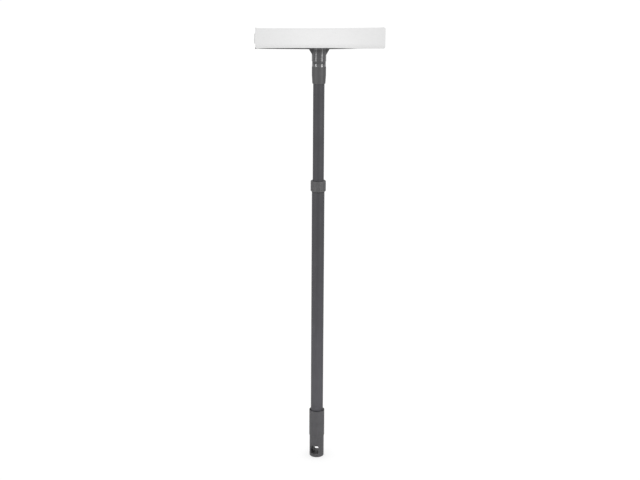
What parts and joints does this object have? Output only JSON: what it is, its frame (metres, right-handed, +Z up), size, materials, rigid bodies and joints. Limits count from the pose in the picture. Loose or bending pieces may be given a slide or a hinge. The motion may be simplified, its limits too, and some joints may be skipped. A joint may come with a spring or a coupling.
{
  "type": "window cleaning squeegee",
  "caption": "Telescopic squeegee with a foam pad and a rubber blade back to back on a dark head, twist-lock pole, grip sleeve and hang hole.",
  "frame": {"origin": "middle of the flat foot of the hang cap, on the pole's axis", "axes": "+Z up the pole towards the head; -Y the way the foam faces; +Y the way the blade faces; +X along the head"},
  "size_m": [0.248, 0.077, 0.8815],
  "materials": {
    "tube_paint": "dark grey powder coat, satin",
    "pole_plastic": "fine satin",
    "collar_plastic": "fine satin",
    "head_plastic": "semi-gloss",
    "inner_plastic": "satin",
    "pale_plastic": "satin",
    "zinc_steel": "zinc plated",
    "blade_rubber": "smooth matt",
    "foam": "fine open-cell foam, matt"
  },
  "bodies": {
    "lower_pole": {"outer_tube": "tube_paint", "grip_sleeve": "pole_plastic", "hang_cap": "pole_plastic", "collar": "collar_plastic", "guide_bush": "pale_plastic"},
    "lock_sleeve": {"expander_sleeve": "pale_plastic"},
    "lock_wedge": {"wedge_nut": "inner_plastic"},
    "upper_pole": {"inner_tube": "tube_paint", "lock_spindle": "inner_plastic", "spindle_rivet": "zinc_steel", "stop_washer": "zinc_steel", "stop_screw": "zinc_steel", "pole_ferrule": "pole_plastic", "head_body": "head_plastic", "foam_strip": "pale_plastic", "strip_screws": "zinc_steel", "foam_pad": "foam", "squeegee_blade": "blade_rubber", "blade_clip_left": "inner_plastic", "blade_clip_right": "inner_plastic"}
  },
  "joints": [
    {"name": "telescope", "type": "slide", "parent": "lower_pole", "child": "lock_sleeve", "axis": [0, 0, 1], "range_m": [-0.186, 0.22]},
    {"name": "twist_lock", "type": "hinge", "parent": "lock_sleeve", "child": "upper_pole", "pos_m": [0, 0, 0.29], "axis": [0, 0, 1], "range_deg": [0, 360]},
    {"name": "wedge_travel", "type": "slide", "parent": "lock_sleeve", "child": "lock_wedge", "axis": [0, 0, 1], "range_m": [-0.003, 0]}
  ],
  "couplings": [
    {"joint": "wedge_travel", "follows": "twist_lock", "m_per_rad": -0.00047746}
  ]
}
